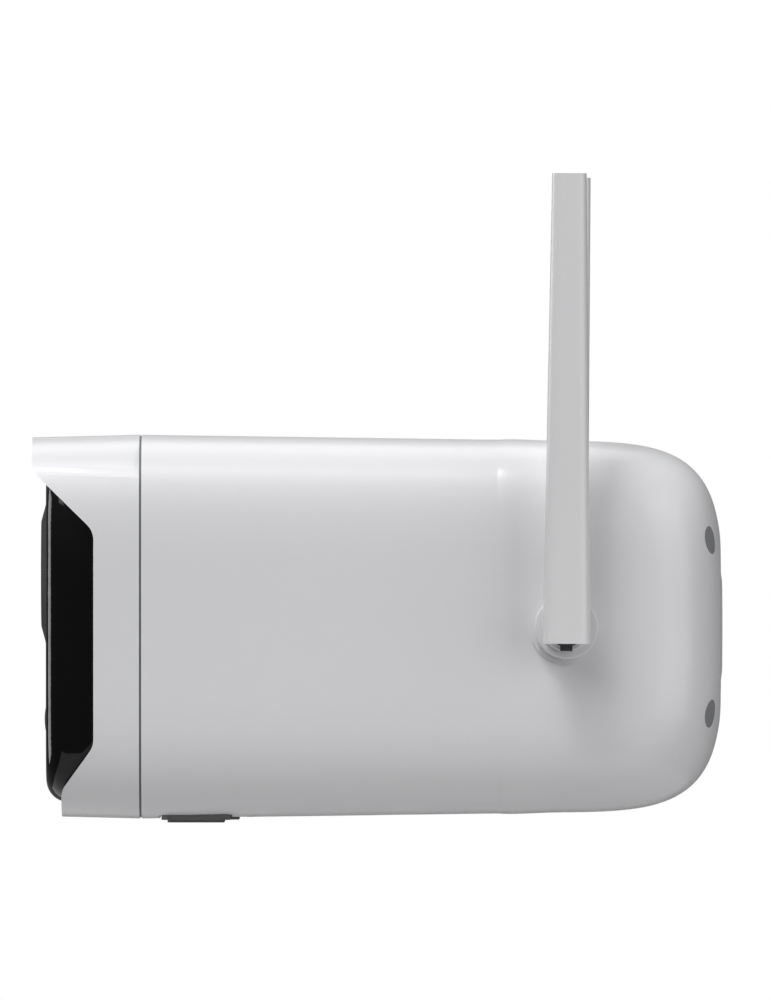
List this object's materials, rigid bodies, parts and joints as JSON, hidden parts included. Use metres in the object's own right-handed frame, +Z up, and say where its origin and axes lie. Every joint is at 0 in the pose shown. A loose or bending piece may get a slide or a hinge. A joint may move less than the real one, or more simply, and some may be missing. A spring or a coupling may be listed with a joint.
{
  "type": "security camera",
  "caption": "Outdoor battery security camera with a hooded black lens panel, swivelling folding paddle antennas, a covered port bay and a rear threaded mount.",
  "frame": {"origin": "centre of the threaded mount's mouth on the rear face", "axes": "+Y backwards out of the rear mount, so the lens looks along -Y; +Z up; +X the camera's own left"},
  "size_m": [0.1082, 0.1592, 0.1495],
  "materials": {
    "housing_white": "semi-gloss white",
    "antenna_white": "semi-gloss white",
    "collar_white": "semi-gloss white",
    "panel_black": "high gloss black",
    "ring_black": "satin black",
    "seal_grey": "matt dark grey",
    "plug_grey": "matt grey",
    "cover_grey": "matt dark grey",
    "lens_glass": "coated glass",
    "smoked_lens": "dark infrared-pass plastic",
    "motion_lens": "dark milky plastic",
    "clear_plastic": "clear moulded plastic",
    "barrel_black": "matt black",
    "pcb": "green solder mask",
    "black_pcb": "black solder mask",
    "chip": "moulded chip",
    "led_yellow": "phosphor",
    "steel": "plated steel",
    "brass": "machined brass",
    "tin": "tinned steel",
    "chassis_black": "glass-filled nylon",
    "cell_wrap": "shrink wrap",
    "knuckle_grey": "glass-filled nylon, dark grey",
    "button_grey": "satin",
    "speaker_black": "frame and paper cone",
    "copper": "copper-clad strip",
    "black_rubber": "matt"
  },
  "bodies": {
    "camera": {"rear_housing": "housing_white", "screw_plugs": "plug_grey", "housing_screws": "steel", "seam_gasket": "seal_grey", "mount_insert": "brass", "front_bezel": "housing_white", "front_panel": "panel_black", "panel_seal": "black_rubber", "lens_ring": "ring_black", "lens_window": "lens_glass", "lens_barrel": "barrel_black", "lens_front_element": "lens_glass", "motion_sensor_lens": "motion_lens", "spotlight_windows": "clear_plastic", "infrared_windows": "smoked_lens", "status_light_pipe": "clear_plastic", "lens_holder": "chassis_black", "sensor_board": "pcb", "image_sensor": "chip", "led_board": "black_pcb", "spotlight_leds": "led_yellow", "infrared_leds": "clear_plastic", "motion_sensor": "tin", "microphone": "tin", "chassis": "chassis_black", "main_board": "pcb", "board_screws": "steel", "radio_shield": "tin", "port_board": "pcb", "usb_socket": "tin", "memory_card_slot": "tin", "button_switches": "chip", "battery_holder": "chassis_black", "battery_cells": "cell_wrap", "battery_contacts": "tin", "speaker": "speaker_black", "left_antenna_bush": "housing_white", "right_antenna_bush": "housing_white"},
    "filter_carriage": {"filter_carriage": "chassis_black", "infrared_cut_filter": "lens_glass", "clear_filter": "clear_plastic"},
    "power_button": {"power_button": "button_grey"},
    "reset_button": {"reset_button": "button_grey"},
    "port_cover": {"port_cover": "cover_grey"},
    "left_antenna_hub": {"left_antenna_collar": "collar_white", "left_antenna_knuckle": "knuckle_grey", "left_antenna_o_ring": "black_rubber", "left_antenna_clip": "steel"},
    "left_antenna_arm": {"left_antenna_paddle": "antenna_white", "left_antenna_pin": "steel", "left_antenna_tip": "antenna_white", "left_antenna_element": "copper"},
    "right_antenna_hub": {"right_antenna_collar": "collar_white", "right_antenna_knuckle": "knuckle_grey", "right_antenna_o_ring": "black_rubber", "right_antenna_clip": "steel"},
    "right_antenna_arm": {"right_antenna_paddle": "antenna_white", "right_antenna_pin": "steel", "right_antenna_tip": "antenna_white", "right_antenna_element": "copper"}
  },
  "joints": [
    {"name": "left_antenna_swivel", "type": "hinge", "parent": "camera", "child": "left_antenna_hub", "pos_m": [0.0412, -0.0362, 0], "axis": [1, 0, 0], "range_deg": [-170, 170]},
    {"name": "left_antenna_tilt", "type": "hinge", "parent": "left_antenna_hub", "child": "left_antenna_arm", "pos_m": [0.0506, -0.0362, 0], "axis": [0, 1, -0.0061], "range_deg": [0, 90]},
    {"name": "right_antenna_swivel", "type": "hinge", "parent": "camera", "child": "right_antenna_hub", "pos_m": [-0.0412, -0.0362, 0], "axis": [1, 0, 0], "range_deg": [-170, 170]},
    {"name": "right_antenna_tilt", "type": "hinge", "parent": "right_antenna_hub", "child": "right_antenna_arm", "pos_m": [-0.0506, -0.0362, 0], "axis": [0, -0.9998, 0.0209], "range_deg": [0, 90]},
    {"name": "filter_shift", "type": "slide", "parent": "camera", "child": "filter_carriage", "axis": [1, 0, 0], "range_m": [0, 0.0064]},
    {"name": "power_press", "type": "slide", "parent": "camera", "child": "power_button", "axis": [0, 0, 1], "range_m": [0, 0.0004], "stiffness_N_per_m": 800},
    {"name": "reset_press", "type": "slide", "parent": "camera", "child": "reset_button", "axis": [0, 0, 1], "range_m": [0, 0.0004], "stiffness_N_per_m": 800},
    {"name": "port_cover_swing", "type": "hinge", "parent": "camera", "child": "port_cover", "pos_m": [0, -0.11155, -0.043], "axis": [1, 0, 0], "range_deg": [0, 90]}
  ]
}
